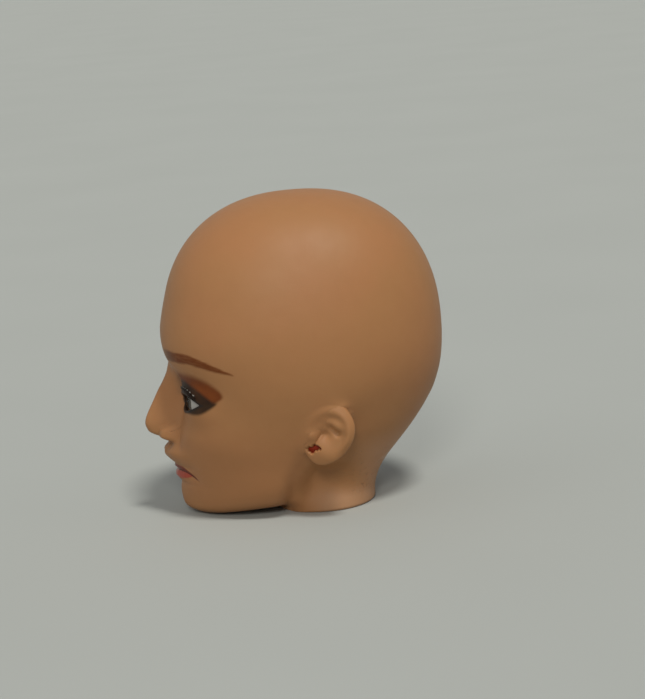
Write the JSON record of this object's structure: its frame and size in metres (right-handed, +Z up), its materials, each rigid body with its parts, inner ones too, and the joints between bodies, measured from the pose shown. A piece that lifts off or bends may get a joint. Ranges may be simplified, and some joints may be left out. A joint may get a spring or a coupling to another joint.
{
  "type": "fashion doll head",
  "caption": "Bald hollow soft vinyl fashion doll head with ears, painted brows and lips, inset turning eyes, applied lashes and a turning neck plug.",
  "frame": {"origin": "centre of the neck opening, on the plane that the head rests on", "axes": "+Z up through the crown, -Y the way the face looks, +X to the doll's left ear"},
  "size_m": [0.028, 0.038, 0.0394],
  "materials": {
    "vinyl_skin": "soft matte vinyl, tan, with brows, eye shadow, liner and lips painted on",
    "eye_white_acrylic": "polished white acrylic",
    "iris_print": "grey iris with a dark ring and a black pupil",
    "cornea_acrylic": "clear polished acrylic",
    "cup_plastic": "natural moulded plastic",
    "lash_fibre": "black lash fibre",
    "insert_plastic": "natural moulded plastic",
    "knob_plastic": "tan moulded plastic",
    "clip_steel": "spring steel"
  },
  "bodies": {
    "head": {"head_shell": "vinyl_skin", "neck_insert": "insert_plastic", "left_eye_cup": "cup_plastic", "right_eye_cup": "cup_plastic", "left_eyelashes": "lash_fibre", "right_eyelashes": "lash_fibre"},
    "left_eye": {"left_eye_white": "eye_white_acrylic", "left_iris": "iris_print", "left_cornea": "cornea_acrylic"},
    "right_eye": {"right_eye_white": "eye_white_acrylic", "right_iris": "iris_print", "right_cornea": "cornea_acrylic"},
    "neck_plug": {"neck_knob": "knob_plastic", "knob_clip": "clip_steel"}
  },
  "joints": [
    {"name": "left_eye_turn", "type": "hinge", "parent": "head", "child": "left_eye", "pos_m": [0.0057, -0.0126, 0.0152], "axis": [0, 0, 1], "range_deg": [-8, 8]},
    {"name": "right_eye_turn", "type": "hinge", "parent": "head", "child": "right_eye", "pos_m": [-0.0057, -0.0126, 0.0152], "axis": [0, 0, 1], "range_deg": [-8, 8]},
    {"name": "neck_turn", "type": "hinge", "parent": "head", "child": "neck_plug", "pos_m": [0, 0, 0], "axis": [0, 0, 1], "continuous": true}
  ]
}
